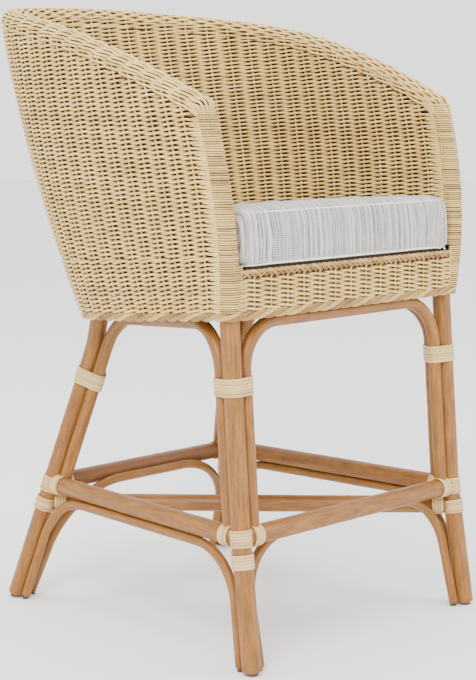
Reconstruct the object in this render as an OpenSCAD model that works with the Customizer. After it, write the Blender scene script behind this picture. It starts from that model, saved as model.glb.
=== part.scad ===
// Counter-height tub chair on four legs: a rattan pole frame, a double wicker
// wall round the seat and a loose box cushion. Millimetres, +Z up, the front
// faces -Y, and the origin is on the floor under the middle of the chair.

/* [Legs] */
// Diameter of the four leg poles
leg_d = 29; // [26:0.5:30]
// Distance of a front foot from the middle line
front_foot_x = 252; // [240:1:265]
// How far forward a front foot stands
front_foot_y = 315; // [305:1:325]
// Distance of a front leg from the middle line at the footrest
front_rail_x = 245.5; // [240:0.5:250]
// How far forward a front leg is at the footrest
front_rail_y = 286; // [280:1:292]
// Distance of a back foot from the middle line
back_foot_x = 241; // [235:1:250]
// How far back a back foot stands
back_foot_y = 249; // [240:1:260]

/* [Footrest and braces] */
// Height of the footrest ring's centre line
ring_z = 197; // [190:1:205]
// Diameter of the footrest and the other three stretchers
stretcher_d = 29; // [26:0.5:30]
// Height of the crossed braces under the ring
brace_z = 164.6; // [160:0.2:166]
// Diameter of the crossed braces
brace_d = 28; // [25:0.5:29]
// Diameter of the arches between the ring and the seat
upper_arch_d = 20; // [18:0.5:21]
// Diameter of the arches between the floor and the ring
lower_arch_d = 15; // [13:0.5:16]
// Bend radius of the upper arches
upper_bend = 70; // [60:1:80]
// Bend radius of the front and side lower arches
lower_bend = 90; // [80:1:95]
// Bend radius of the back lower arch
back_lower_bend = 130; // [110:1:140]

/* [Bindings] */
// Height of a cane binding
binding_h = 26; // [22:1:30]
// Thickness of a cane binding
binding_t = 2.2; // [1.5:0.1:3]

/* [Tub] */
// Height of the skirt's lower edge at the front
skirt_z = 513; // [505:1:520]
// Fall of the seat towards the back, per millimetre
seat_fall = 0.085; // [0.06:0.005:0.1]
// Total thickness of the double wall
wall_t = 36; // [34:0.5:38]
// Thickness of one woven skin
skin_t = 5; // [4:0.5:6]
// Height of the rim at the back, on the wall's middle line
rim_z = 963; // [940:1:990]
// Drop of the rim from the back to the arm fronts
rim_drop = 148; // [130:1:160]
// Half width of the wall's middle line at the skirt
skirt_half_w = 250; // [245:1:255]
// Half width of the wall's middle line at the rim
rim_half_w = 284; // [275:1:290]

/* [Cushion] */
// Thickness of the cushion
cushion_h = 80; // [60:1:84]
// Half width of the cushion
cushion_half_w = 233; // [220:1:234]

/* [Hidden] */
ends = ["front_right", "front_left", "back_right", "back_left"];
arch_sides = ["front", "back", "left", "right"];

$fn = 48;
pole_tan = [0.80, 0.60, 0.38];
cane_pale = [0.91, 0.85, 0.71];
reed_straw = [0.84, 0.74, 0.56];
leg_r = leg_d / 2;
rail_r = stretcher_d / 2;
brace_r = brace_d / 2;
upper_r = upper_arch_d / 2;
lower_r = lower_arch_d / 2;
wall_r = wall_t / 2;
core_r = wall_r - skin_t;
stake_r = 2.2;
wall_pole_r = 7.8;
fit_gap = 0.1;
glide_h = 5;
arch_foot_z = 6;
// A distance past the chair on every side, for the blocks that trim its poles.
far = 400;

// Legs: a front pole has one bend at the ring, a back pole one high up.
front_top = [244, -258, 555];
back_bend = [165, 127, 430];
back_top = [162, 108, 520];
front_y0 = -264.4;
function plane_z(y) = skirt_z - seat_fall * (y - front_y0 + 18.6);
function blend(a, b, t) = a + (b - a) * t;
function on_line(a, b, z) = blend(a, b, (z - a[2]) / (b[2] - a[2]));
function flip_x(p, sx) = [p[0] * sx, p[1], p[2]];
front_foot = [front_foot_x, -front_foot_y, 0];
front_bend = [front_rail_x, -front_rail_y, ring_z];
back_foot = [back_foot_x, back_foot_y, 0];
function front_axis(sx, z) = flip_x(z < ring_z ? on_line(front_foot, front_bend, z)
                                               : on_line(front_bend, front_top, z), sx);
function back_axis(sx, z) = flip_x(z < back_bend[2] ? on_line(back_foot, back_bend, z)
                                                    : on_line(back_bend, back_top, z), sx);
function axis_of(e, z) = e == 0 ? front_axis(-1, z) : e == 1 ? front_axis(1, z)
                       : e == 2 ? back_axis(-1, z) : back_axis(1, z);
function inward_x(e) = e % 2 == 0 ? 1 : -1;
function inward_y(e) = e < 2 ? 1 : -1;

// Offsets of the thin arch poles from a leg's axis, in X and Y towards the middle.
upper_cross_off = [25.4, 0];
upper_side_off = [3, 26];
lower_side_off = [0, 23.2];
lower_front_off = [22, 5];
lower_back_off = [26, 6];
// How far inside the stretcher's axis a crosswise arch has its top.
front_shift = 18;
back_shift = 20.6;

function unit(v) = v / norm(v);

// A straight round pole between two points.
module rod(a, b, r) {
    d = b - a;
    translate(a) rotate([0, acos(d[2] / norm(d)), atan2(d[1], d[0])]) cylinder(h = norm(d), r = r);
}

// The points of a pole's middle line, with a round bend at each inner corner.
function bend_points(before, at, after, bend, steps) =
    let (a = unit(before - at), b = unit(after - at), turn = 180 - acos(a * b),
         centre = at + unit(a + b) * bend / cos(turn / 2),
         sa = at + a * bend * tan(turn / 2) - centre, sb = at + b * bend * tan(turn / 2) - centre)
    [for (k = [0:steps]) let (t = turn * k / steps)
        centre + (sa * sin(turn - t) + sb * sin(t)) / sin(turn)];
function bent_path(p, bend, steps) = concat([p[0]],
    [for (i = [1:1:len(p) - 2]) for (q = bend_points(p[i - 1], p[i], p[i + 1], bend, steps)) q],
    [p[len(p) - 1]]);

// A tube of rings along a path, closed on itself or with flat ends. The rings
// start square to the direction ref, which the path never runs along.
module swept(path, ra, rb, sides, closed, ref) {
    m = len(path);
    function dir(i) = closed ? unit(path[(i + 1) % m] - path[(i + m - 1) % m])
                             : unit(path[min(i + 1, m - 1)] - path[max(i - 1, 0)]);
    ring = [for (i = [0:m - 1]) let (d = dir(i), s = unit(cross(d, ref)), w = cross(s, d))
        for (j = [0:sides - 1]) path[i] + s * ra * cos(360 * j / sides) + w * rb * sin(360 * j / sides)];
    spans = closed ? m - 1 : m - 2;
    polyhedron(points = ring, faces = concat(
        [for (i = [0:spans]) for (j = [0:sides - 1])
            let (a = i * sides + j, b = i * sides + (j + 1) % sides,
                 c = ((i + 1) % m) * sides + j, d = ((i + 1) % m) * sides + (j + 1) % sides)
            for (f = [[a, b, d], [a, d, c]]) f],
        closed ? [] : [[for (j = [sides - 1:-1:0]) j], [for (j = [0:sides - 1]) (m - 1) * sides + j]]));
}
flat_x = [1, 0, 0];
flat_y = [0, 1, 0];
flat_z = [0, 0, 1];

leg_bend = 140;
function leg_line(e) = e < 2 ? [axis_of(e, -20), axis_of(e, ring_z), axis_of(e, 600)]
                             : [axis_of(e, -20), axis_of(e, back_bend[2]), axis_of(e, 600)];
module leg(e) {
    top = plane_z(axis_of(e, 520)[1]) + 42;
    color(pole_tan) intersection() {
        swept(bent_path(leg_line(e), leg_bend, 4), leg_r, leg_r, 24, false, flat_x);
        translate([-far, -far, glide_h]) cube([2 * far, 2 * far, top - glide_h]);
    }
}
// The space that a leg takes, below its bend and above it, with a lap between.
bend_lap = 6;
module leg_hole(e, gap) {
    mid = axis_of(e, e < 2 ? ring_z : back_bend[2]);
    foot = axis_of(e, -20);
    top = axis_of(e, 560);
    rod(foot, mid + unit(mid - foot) * bend_lap, leg_r + gap);
    rod(mid + unit(mid - top) * bend_lap, top, leg_r + gap);
}

// Upper arches stand on the ring, and their tops run just under the seat.
function arch_z(y) = plane_z(y) - 4;
upper_foot_z = ring_z + rail_r - 6;
function inward(e, off) = [inward_x(e) * off[0], inward_y(e) * off[1], 0];
function straight_back(e, z) = flip_x(on_line(back_foot, back_bend, z), e == 2 ? -1 : 1);
function top_axis(e, z) = e < 2 ? axis_of(e, z) : straight_back(e, z);
function corner_z(e) = arch_z(e < 2 ? -240 : 100);
function upper_line(e1, e2, o1, o2) = [
    top_axis(e1, upper_foot_z) + o1, top_axis(e1, corner_z(e1)) + o1,
    top_axis(e2, corner_z(e2)) + o2, top_axis(e2, upper_foot_z) + o2];
function upper_arch_line(s) =
    let (e = arch_ends(s), off = crosswise(s) ? upper_cross_off : upper_side_off)
    upper_line(e[0], e[1], inward(e[0], off), inward(e[1], off));
function arch_ends(s) = s == "front" ? [0, 1] : s == "back" ? [2, 3] : s == "left" ? [1, 3] : [0, 2];
function crosswise(s) = s == "front" || s == "back";
function arch_ref(s) = crosswise(s) ? flat_y : flat_x;
module upper_arch(s) {
    e = arch_ends(s);
    color(pole_tan) difference() {
        swept(bent_path(upper_arch_line(s), upper_bend, 6), upper_r, upper_r, 18, false, arch_ref(s));
        rod(axis_of(e[0], ring_z), axis_of(e[1], ring_z), rail_r + 0.2);
    }
}

// Lower arches rise from the floor and run under or just inside the stretchers.
side_arch_z = ring_z - rail_r - lower_r - 0.3;
arch_foot = -20;
function cross_arch_z(shift) = ring_z - sqrt(pow(rail_r + lower_r + 0.4, 2) - pow(shift, 2));
function side_foot(e) = axis_of(e, arch_foot) + inward(e, lower_side_off);
function side_top(e) = axis_of(e, side_arch_z) + inward(e, lower_side_off);
function cross_foot(e, off) = axis_of(e, arch_foot) + inward(e, off);
function cross_top(e, off, shift) =
    let (z = cross_arch_z(shift))
    [axis_of(e, z)[0] + inward_x(e) * off[0], axis_of(e, ring_z)[1] + inward_y(e) * shift, z];
function lower_arch_line(s) =
    let (e = arch_ends(s), off = s == "front" ? lower_front_off : lower_back_off,
         shift = s == "front" ? front_shift : back_shift)
    crosswise(s) ? [cross_foot(e[0], off), cross_top(e[0], off, shift),
                    cross_top(e[1], off, shift), cross_foot(e[1], off)]
                 : [side_foot(e[0]), side_top(e[0]), side_top(e[1]), side_foot(e[1])];
module lower_arch(s) {
    bend = s == "back" ? back_lower_bend : lower_bend;
    color(pole_tan) difference() {
        swept(bent_path(lower_arch_line(s), bend, 6), lower_r, lower_r, 16, false, arch_ref(s));
        translate([-far, -far, -far]) cube([2 * far, 2 * far, far + arch_foot_z]);
    }
}

// Stretchers butt against the legs.
function butt(e1, e2, z, r) =
    let (a = axis_of(e1, z), b = axis_of(e2, z), d = unit(b - a)) [a + d * r, b - d * r];
module rail_pole(e1, e2, grow) {
    ends_at = butt(e1, e2, ring_z, leg_r - 3);
    rod(ends_at[0], ends_at[1], rail_r + grow);
}
module stretcher(e1, e2) {
    color(pole_tan) difference() {
        rail_pole(e1, e2, 0);
        for (e = [e1, e2]) leg_hole(e, fit_gap);
    }
}
// The side stretchers are coped where they meet the front and back ones.
module side_stretcher(e1, e2) {
    difference() {
        stretcher(e1, e2);
        rail_pole(0, 1, fit_gap);
        rail_pole(2, 3, fit_gap);
    }
}
module brace_pole(e1, e2, grow) {
    rod(butt(e1, e2, brace_z, leg_r - 3)[0], butt(e1, e2, brace_z, leg_r - 3)[1], brace_r + grow);
}
brace_mid = [0, (axis_of(0, brace_z)[1] * back_axis(1, brace_z)[0]
               + back_axis(1, brace_z)[1] * front_axis(1, brace_z)[0])
              / (back_axis(1, brace_z)[0] + front_axis(1, brace_z)[0]), brace_z];
// The two braces cross in a half lap: each keeps one half of its height there.
module cross_brace(e1, e2, keep_low) {
    color(pole_tan) difference() {
        brace_pole(e1, e2, 0);
        for (e = [e1, e2]) leg_hole(e, fit_gap);
        intersection() {
            brace_pole(1 - e1, 5 - e2, fit_gap);
            translate(brace_mid + [-40, -40, keep_low ? -fit_gap : -40])
                cube([80, 80, 40 + fit_gap]);
        }
    }
}

// Cane bindings are sleeves round the poles that they tie.
module sleeve(a, b, r) { rod(a, b, r + binding_t); }
leg_gap = 0.4;
module leg_sleeve(e, z) { sleeve(axis_of(e, z - binding_h / 2), axis_of(e, z + binding_h / 2), leg_r); }
function upper_offs(e) = [inward(e, upper_cross_off), inward(e, upper_side_off)];
module upper_binding(e) {
    z = e < 2 ? 416 : 379;
    color(cane_pale) difference() {
        union() {
            leg_sleeve(e, z);
            for (o = upper_offs(e))
                sleeve(axis_of(e, z - binding_h / 2) + o, axis_of(e, z + binding_h / 2) + o, upper_r);
        }
        leg_hole(e, fit_gap);
        for (o = upper_offs(e))
            rod(axis_of(e, z - 40) + o, axis_of(e, z + 40) + o, upper_r + fit_gap);
    }
}
function neighbours(e) = e == 0 ? [1, 2] : e == 1 ? [0, 3] : e == 2 ? [3, 0] : [2, 1];
lobe_l = 21;
module lobe(e1, e2, z, r) {
    a = axis_of(e1, z);
    d = unit(axis_of(e2, z) - a);
    rod(a, a + d * (leg_r + lobe_l), r);
}
module ring_binding(e) {
    color(cane_pale) difference() {
        union() {
            leg_sleeve(e, ring_z);
            for (n = neighbours(e)) lobe(e, n, ring_z, rail_r + binding_t);
        }
        leg_hole(e, leg_gap);
        for (n = neighbours(e))
            rod(axis_of(e, ring_z), blend(axis_of(e, ring_z), axis_of(n, ring_z), 0.3),
                rail_r + fit_gap);
        for (o = upper_offs(e))
            rod(axis_of(e, upper_foot_z - 2) + o, axis_of(e, ring_z + 60) + o, upper_r + fit_gap);
    }
}
module brace_binding(e) {
    color(cane_pale) difference() {
        union() {
            leg_sleeve(e, brace_z);
            lobe(e, 3 - e, brace_z, brace_r + binding_t);
        }
        leg_hole(e, fit_gap);
        rod(axis_of(e, brace_z), blend(axis_of(e, brace_z), axis_of(3 - e, brace_z), 0.3),
            brace_r + fit_gap);
        translate([-far, -far, ring_z - binding_h / 2 - 0.3]) cube([2 * far, 2 * far, 40]);
        sleeve(axis_of(e, ring_z - binding_h / 2 - 0.3), axis_of(e, ring_z), leg_r + fit_gap);
        for (n = neighbours(e)) lobe(e, n, ring_z, rail_r + binding_t + fit_gap);
    }
}

// Nail-on glides under the legs, and small ones under the arches.
module glide(e) {
    c = axis_of(e, 0);
    color("saddlebrown") translate([c[0], c[1], 0]) {
        cylinder(h = 3, r1 = 8.5, r2 = 9.5);
        translate([0, 0, 3]) cylinder(h = glide_h - 3, r = 9.5);
    }
}
module arch_glides() {
    color("saddlebrown") for (s = arch_sides) {
        p = lower_arch_line(s);
        for (c = [on_line(p[0], p[1], 3), on_line(p[3], p[2], 3)])
            translate([c[0], c[1], 0]) cylinder(h = arch_foot_z, r = 5);
    }
}

// The tub wall's middle surface. u runs from the right arm front (-1) round the
// back (0) to the left arm front (1), and v from the skirt (0) to the rim (1).
side_share = 0.31;
round_n = 3.2;
function round_r(a, b, turn) =
    pow(pow(abs(cos(turn) / a), round_n) + pow(abs(sin(turn) / b), round_n), -1 / round_n);
function plan(t, front_w, front_y, w, side_y, depth) =
    t < side_share
    ? let (k = t / side_share) [w - (w - front_w) * pow(1 - k, 2), blend(front_y, side_y, k)]
    : let (turn = 90 * (t - side_share) / (1 - side_share), r = round_r(w, depth, turn))
      [r * cos(turn), side_y + r * sin(turn)];
function skirt_plan(t) = plan(t, skirt_half_w, front_y0, skirt_half_w, -88, 217);
function rim_plan(t) = plan(t, 268, -232, rim_half_w, -18, 332);
function ease(t) = t * t * (3 - 2 * t);
function crown(t) = [3 + 12 * sin(180 * t), -17 + 36 * ease(t)];
function rim_height(t) = rim_z - rim_drop * pow(1 - t, 2.2);
function wall(u, v) =
    let (t = 1 - abs(u), sx = u < 0 ? -1 : 1, a = skirt_plan(t), b = rim_plan(t),
         p = blend(a, b, v) + crown(t) * 4 * v * (1 - v))
    [sx * p[0], p[1], blend(plane_z(a[1]), rim_height(t), v)];
du = 0.01;
function wall_along(u, v) =
    let (a = wall(max(u - du, -1), v), b = wall(min(u + du, 1), v)) unit([b[0] - a[0], b[1] - a[1], 0]);
function wall_out(u, v) = let (d = wall_along(u, v)) [-d[1], d[0], 0];
function wall_at(u, v, off) = wall(u, v) + wall_out(u, v) * off;
function wall_h(u) = wall(u, 1)[2] - wall(u, 0)[2];
function v_at(u, dz) = dz / wall_h(u);

// A closed solid between two equal grids of points, a outside and b inside.
module grid_solid(a, b) {
    m = len(a);
    n = len(a[0]);
    function ia(i, j) = i * n + j;
    function ib(i, j) = m * n + i * n + j;
    polyhedron(
        points = concat([for (r = a) for (p = r) p], [for (r = b) for (p = r) p]),
        faces = concat(
            [for (i = [0:m - 2]) for (j = [0:n - 2])
                for (f = [[ia(i, j), ia(i, j + 1), ia(i + 1, j + 1)],
                          [ia(i, j), ia(i + 1, j + 1), ia(i + 1, j)],
                          [ib(i, j), ib(i + 1, j + 1), ib(i, j + 1)],
                          [ib(i, j), ib(i + 1, j), ib(i + 1, j + 1)]]) f],
            [for (i = [0:m - 2]) for (f = [
                [ia(i, 0), ia(i + 1, 0), ib(i + 1, 0)], [ia(i, 0), ib(i + 1, 0), ib(i, 0)],
                [ia(i, n - 1), ib(i + 1, n - 1), ia(i + 1, n - 1)],
                [ia(i, n - 1), ib(i, n - 1), ib(i + 1, n - 1)]]) f],
            [for (j = [0:n - 2]) for (f = [
                [ia(0, j), ib(0, j + 1), ia(0, j + 1)], [ia(0, j), ib(0, j), ib(0, j + 1)],
                [ia(m - 1, j), ia(m - 1, j + 1), ib(m - 1, j + 1)],
                [ia(m - 1, j), ib(m - 1, j + 1), ib(m - 1, j)]]) f]));
}
braid_top = 16.4;
deck_top = 75.3;
u_steps = 52;
v_steps = 7;
seam = 0.004;
function skin_grid(off, low) =
    [for (i = [0:u_steps]) let (u = (1 - seam) * (2 * i / u_steps - 1), v0 = v_at(u, low))
        [for (j = [0:v_steps]) wall_at(u, blend(v0, 1 - seam, j / v_steps), off)]];
module outer_weave() {
    color(reed_straw) difference() {
        grid_solid(skin_grid(wall_r, braid_top), skin_grid(core_r, braid_top));
        for (e = [2, 3]) leg_hole(e, leg_gap);
    }
}
inner_low = deck_top + 1.2;
module inner_weave() {
    color(reed_straw) grid_solid(skin_grid(-core_r, inner_low), skin_grid(-wall_r, inner_low));
}

// The rolled edge: up the right arm front, round the rim and down the left one.
corner_turns = 4;
rim_steps = 56;
post_steps = 7;
function post_edge(sx, v) = [wall(sx, v), sx * wall_along(sx, v), wall_out(sx, v)];
function corner_edge(sx, k) =
    [wall(sx, 1), wall_along(sx, 1) * sx * cos(90 * k) + [0, 0, sin(90 * k)], wall_out(sx, 1)];
function rim_edge(u) = [wall(u, 1), [0, 0, 1], wall_out(u, 1)];
low_v = v_at(1, braid_top);
edge_path = concat(
    [for (i = [0:post_steps]) post_edge(-1, blend(low_v, 1, i / post_steps))],
    [for (i = [1:corner_turns]) corner_edge(-1, i / corner_turns)],
    [for (i = [1:rim_steps - 1]) rim_edge(2 * i / rim_steps - 1)],
    [for (i = [corner_turns:-1:1]) corner_edge(1, i / corner_turns)],
    [for (i = [post_steps:-1:0]) post_edge(1, blend(low_v, 1, i / post_steps))]);
cap_steps = 8;
function cap_grid(r) =
    [for (e = edge_path) [for (j = [0:cap_steps])
        let (q = 90 - 180 * j / cap_steps) e[0] + e[1] * r * cos(q) + e[2] * r * sin(q)]];
module rim_weave() {
    color(reed_straw) difference() {
        grid_solid(cap_grid(core_r), cap_grid(wall_r));
        for (e = [0, 1]) leg_hole(e, leg_gap);
    }
}

// The twisted braid round the skirt's edge, along the apron too.
braid_out = 14;
braid_z = 8;
function braid_side(u) = wall_at(u, 0, braid_out) + [0, 0, braid_z];
function braid_corner(sx, k) =
    wall(sx, 0) + [sx * braid_out * cos(90 * k), -braid_out * sin(90 * k), braid_z];
braid_path = concat(
    [for (i = [0:60]) braid_side(i / 30 - 1)],
    [for (k = [0.25:0.25:1]) braid_corner(1, k)],
    [for (x = [200:-40:-200]) [x, front_y0 - braid_out, plane_z(front_y0) + braid_z]],
    [for (k = [1:-0.25:0.25]) braid_corner(-1, k)]);
module skirt_braid() {
    color(reed_straw) difference() {
        swept(braid_path, 6, 8, 8, true, flat_z);
        for (e = [0:3]) leg_hole(e, leg_gap);
    }
}

// Front apron below the cushion.
apron_half = 236;
module apron_weave() {
    z = plane_z(front_y0) + braid_top;
    color(reed_straw) translate([-apron_half, front_y0 - wall_r, z])
        cube([2 * apron_half, skin_t, skirt_z + deck_top - 0.4 - z]);
}

// Stakes stand against each skin's hidden side.
outer_stakes = 45;
inner_stakes = 37;
stake_off = core_r - stake_r - 1;
stake_reach = 0.985;
stake_steps = 6;
module stakes(count, off, low) {
    color(reed_straw) for (i = [0:count - 1]) {
        u = ((2 * i + 1) / count - 1) * stake_reach;
        v0 = v_at(u, low);
        path = [for (j = [0:stake_steps]) wall_at(u, blend(v0, stake_reach, j / stake_steps), off)];
        swept(path, stake_r, stake_r, 6, false, flat_x);
    }
}

// Frame poles inside the wall.
rail_clear = 12.5;
function wall_pole(u, z0) = let (v0 = v_at(u, z0), v1 = 1 - v_at(u, rail_clear))
    [for (j = [0:5]) wall(u, blend(v0, v1, j / 5))];
module arm_post(sx) {
    color(pole_tan) swept(wall_pole(sx, 45), wall_pole_r, wall_pole_r, 12, false, flat_x);
}
upright_r = 6.2;
module back_uprights() {
    color(pole_tan) for (u = [-0.66, -0.34, 0, 0.34, 0.66])
        swept(wall_pole(u, 22), upright_r, upright_r, 10, false, flat_x);
}
module top_rail() {
    rim_line = [for (i = [0:50]) wall(i / 25 - 1, 1)];
    color(pole_tan) swept(rim_line, wall_pole_r, wall_pole_r, 10, false, flat_z);
}

// Everything on the seat is drawn flat, then tipped back with the seat's fall.
module on_seat(h) {
    translate([0, front_y0 - 18.6, skirt_z]) rotate([-atan(seat_fall), 0, 0])
        translate([0, 18.6 - front_y0, h]) children();
}
side_reach = 0.93;
function inset_plan(off, h) =
    let (n = 22)
    [for (i = [-n:n]) let (u = i / n * side_reach, p = wall_at(u, v_at(u, h), -off))
        [p[0], p[1] - h * seat_fall]];
hoop_r = 11;
hoop_in = 20.8;
hoop_z = 54;
function hoop_at(u) =
    let (p = wall_at(u, v_at(u, hoop_z), -hoop_in)) [p[0], p[1], plane_z(p[1]) + hoop_z];
hoop_path = let (side = [for (i = [-20:20]) hoop_at(i / 20 * side_reach)],
                 r = 24, y = front_y0 + hoop_in - 4, x = side[40][0], z = plane_z(y + r) + hoop_z)
    concat(side,
        [for (k = [0:30:90]) [x - r + r * cos(k), y + r - r * sin(k), z + seat_fall * r * sin(k)]],
        [for (k = [90:-30:0]) [-(x - r + r * cos(k)), y + r - r * sin(k), z + seat_fall * r * sin(k)]]);
module seat_hoop() { color(pole_tan) swept(hoop_path, hoop_r, hoop_r, 12, true, flat_z); }
module seat_slats() {
    color("burlywood") on_seat(hoop_z) for (x = [-110, 0, 110])
        translate([x - 15, front_y0 + 29.5, -9]) cube([30, 342, 18]);
}
deck_t = 9.6;
module seat_deck() {
    color(reed_straw) on_seat(deck_top - deck_t) linear_extrude(deck_t) polygon(concat(
        inset_plan(12, deck_top - deck_t), [[220, front_y0 - 12], [-220, front_y0 - 12]]));
}

// Screws that hold the stretchers and the crossed braces.
screw_r = 2.5;
module screw_at(e, n, z, l) {
    a = axis_of(e, z);
    d = unit(axis_of(n, z) - a);
    rod(a - d * (leg_r - 3), a + d * l, screw_r);
}
module frame_screws() {
    color("silver") {
        for (e = [0:3]) {
            screw_at(e, neighbours(e)[0], ring_z - 5, 52);
            screw_at(e, neighbours(e)[1], ring_z + 5, 52);
            screw_at(e, 3 - e, brace_z, 50);
        }
        translate(brace_mid + [0, 0, -brace_r + 3]) cylinder(h = 2 * brace_r - 6, r = screw_r);
    }
}

// The loose cushion: a cover round a foam core, with a zip at the back.
cushion_z = deck_top + 0.6;
cover_t = 1.5;
cushion_mid_y = -95;
cushion_depth = 236;
cushion_front = -293;
cushion_corner = 16;
function cushion_plan(grow) =
    let (w = cushion_half_w + grow, n = 14, c = cushion_corner, y = cushion_front - grow)
    concat([for (i = [0:n]) let (turn = 180 * i / n, r = round_r(w, cushion_depth + grow, turn))
            [r * cos(turn), cushion_mid_y + r * sin(turn)]],
        [for (k = [0:15:90]) [-w + c * (1 - cos(k)), y + c * (1 - sin(k))]],
        [for (k = [90:-15:0]) [w - c * (1 - cos(k)), y + c * (1 - sin(k))]]);
module cushion_block(grow) {
    linear_extrude(cushion_h + 2 * grow) polygon(cushion_plan(grow));
}
zip_size = [180, 3, 10];
module zip_space(grow) {
    back = cushion_mid_y + cushion_depth;
    translate([-zip_size[0] / 2 - grow, back - zip_size[1], (cushion_h - zip_size[2]) / 2 - grow])
        cube([zip_size[0] + 2 * grow, 6, zip_size[2] + 2 * grow]);
}
module cushion_cover() {
    color("gainsboro") on_seat(cushion_z) difference() {
        cushion_block(0);
        translate([0, 0, cover_t]) cushion_block(-cover_t);
        zip_space(0.1);
    }
}
module cushion_core() {
    color("ivory") on_seat(cushion_z + cover_t + 0.2) difference() {
        linear_extrude(cushion_h - 2 * cover_t - 0.4) polygon(cushion_plan(-cover_t - 0.2));
        translate([0, 0, -cover_t - 0.2]) zip_space(0.6);
    }
}
module cushion_zip() {
    color("dimgray") on_seat(cushion_z) intersection() {
        zip_space(0);
        cushion_block(0);
    }
}

for (e = [0:3]) {
    leg(e);
    upper_binding(e);
    ring_binding(e);
    brace_binding(e);
    glide(e);
}
for (s = arch_sides) {
    upper_arch(s);
    lower_arch(s);
}
stretcher(0, 1);  // footrest_front
stretcher(2, 3);  // stretcher_back
side_stretcher(1, 3);  // stretcher_left
side_stretcher(0, 2);  // stretcher_right
cross_brace(0, 3, true);  // cross_brace_under
cross_brace(1, 2, false);  // cross_brace_over
arch_glides();
seat_hoop();
seat_slats();
seat_deck();
arm_post(-1);  // arm_post_right
arm_post(1);  // arm_post_left
back_uprights();
top_rail();
stakes(outer_stakes, stake_off, braid_top + 2);
stakes(inner_stakes, -stake_off, deck_top + 4);
outer_weave();
inner_weave();
rim_weave();
apron_weave();
skirt_braid();
frame_screws();
cushion_cover();
cushion_core();
cushion_zip();
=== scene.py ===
"""Looks of the rattan counter stool: bent poles, cane bindings, twined reed and a fabric cushion.

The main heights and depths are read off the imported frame's boxes, and the rest repeat the part's sizes.
Reed is built strand by strand: each row is two strands that twist half a turn past each stake.
"""

import math

import bmesh
import bpy
import numpy as np
from mathutils import Matrix, Vector
from mathutils.bvhtree import BVHTree


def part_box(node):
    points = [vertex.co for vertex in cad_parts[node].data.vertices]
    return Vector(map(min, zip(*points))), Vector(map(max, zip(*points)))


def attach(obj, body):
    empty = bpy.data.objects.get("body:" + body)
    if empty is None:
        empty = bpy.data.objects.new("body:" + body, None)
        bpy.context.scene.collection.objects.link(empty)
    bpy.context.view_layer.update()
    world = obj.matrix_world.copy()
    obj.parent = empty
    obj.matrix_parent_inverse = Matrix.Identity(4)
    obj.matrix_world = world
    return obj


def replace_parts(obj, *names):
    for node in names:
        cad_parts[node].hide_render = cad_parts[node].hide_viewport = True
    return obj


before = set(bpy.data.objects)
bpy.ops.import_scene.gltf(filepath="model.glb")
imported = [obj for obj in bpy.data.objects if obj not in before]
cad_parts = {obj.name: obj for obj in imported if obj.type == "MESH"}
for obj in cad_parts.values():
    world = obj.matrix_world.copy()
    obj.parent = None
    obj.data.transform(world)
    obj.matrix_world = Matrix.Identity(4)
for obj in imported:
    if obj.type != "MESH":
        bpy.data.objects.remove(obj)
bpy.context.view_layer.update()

rng = np.random.default_rng(41)
MM = 0.001

# ---------------------------------------------------------------- sizes from the frame


def low(node):
    return np.array(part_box(node)[0])


def high(node):
    return np.array(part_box(node)[1])


ENDS = ["front_right", "front_left", "back_right", "back_left"]
LEG_R = 14.5 * MM
RAIL_R = 14.5 * MM
BRACE_R = 14 * MM
UPPER_R = 10 * MM
LOWER_R = 7.5 * MM
RING_Z = (low("stretcher_left")[2] + high("stretcher_left")[2]) / 2
BRACE_Z = (low("cross_brace_under")[2] + high("cross_brace_under")[2]) / 2
WALL_R = 18 * MM
WEAVE_R = 12.6 * MM
FRONT_Y = low("apron_weave")[1] + WALL_R
RIM_BACK = high("rim_weave")[2] - WALL_R
BRAID_TOP = 16.4 * MM
SKIRT_Z = low("apron_weave")[2] - BRAID_TOP
SEAT_FALL = 0.085
DECK_TOP = 75.3 * MM
LEG_BEND = 140 * MM
UPPER_BEND = 70 * MM
LOWER_BEND = 90 * MM
UP = np.array([0, 0, 1.0])
# The wall's plan: front half width, front y, half width, y where the sides end, and depth behind that.
SKIRT_PLAN = (250 * MM, FRONT_Y, 250 * MM, -88 * MM, 217 * MM)
RIM_PLAN = (268 * MM, FRONT_Y + 32.4 * MM, 284 * MM, -18 * MM, 332 * MM)
RIM_DROP = 148 * MM


# ---------------------------------------------------------------- the tub's middle surface


def plane_z(y):
    return SKIRT_Z - SEAT_FALL * (y - FRONT_Y)


def round_r(a, b, turn, n=3.2):
    return (np.abs(np.cos(turn) / a) ** n + np.abs(np.sin(turn) / b) ** n) ** (-1 / n)


def plan(t, front_w, front_y, w, side_y, depth, share=0.31):
    k = np.clip(t / share, 0, 1)
    turn = np.pi / 2 * np.clip((t - share) / (1 - share), 0, 1)
    r = round_r(w, depth, turn)
    x = np.where(t < share, w - (w - front_w) * (1 - k) ** 2, r * np.cos(turn))
    y = np.where(t < share, front_y + (side_y - front_y) * k, side_y + r * np.sin(turn))
    return x, y


def wall(u, v):
    """Points of the wall's middle surface: u is -1..1 round the tub, v is 0 at the skirt, 1 at the rim."""
    u = np.asarray(u, float)
    t = 1 - np.abs(u)
    ax, ay = plan(t, *SKIRT_PLAN)
    bx, by = plan(t, *RIM_PLAN)
    ease = t * t * (3 - 2 * t)
    bulge = 4 * v * (1 - v)
    x = ax + (bx - ax) * v + (3 + 12 * np.sin(np.pi * t)) * MM * bulge
    y = ay + (by - ay) * v + (36 * ease - 17) * MM * bulge
    z0 = plane_z(ay)
    rim = RIM_BACK - RIM_DROP * np.abs(u) ** 2.2
    z = z0 + (rim - z0) * v
    return np.stack([np.where(u < 0, -x, x), y, z], -1)


def wall_dir(u, v):
    d = wall(np.minimum(u + 0.01, 1), v) - wall(np.maximum(u - 0.01, -1), v)
    d[..., 2] = 0
    return d / np.linalg.norm(d, axis=-1, keepdims=True)


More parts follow.
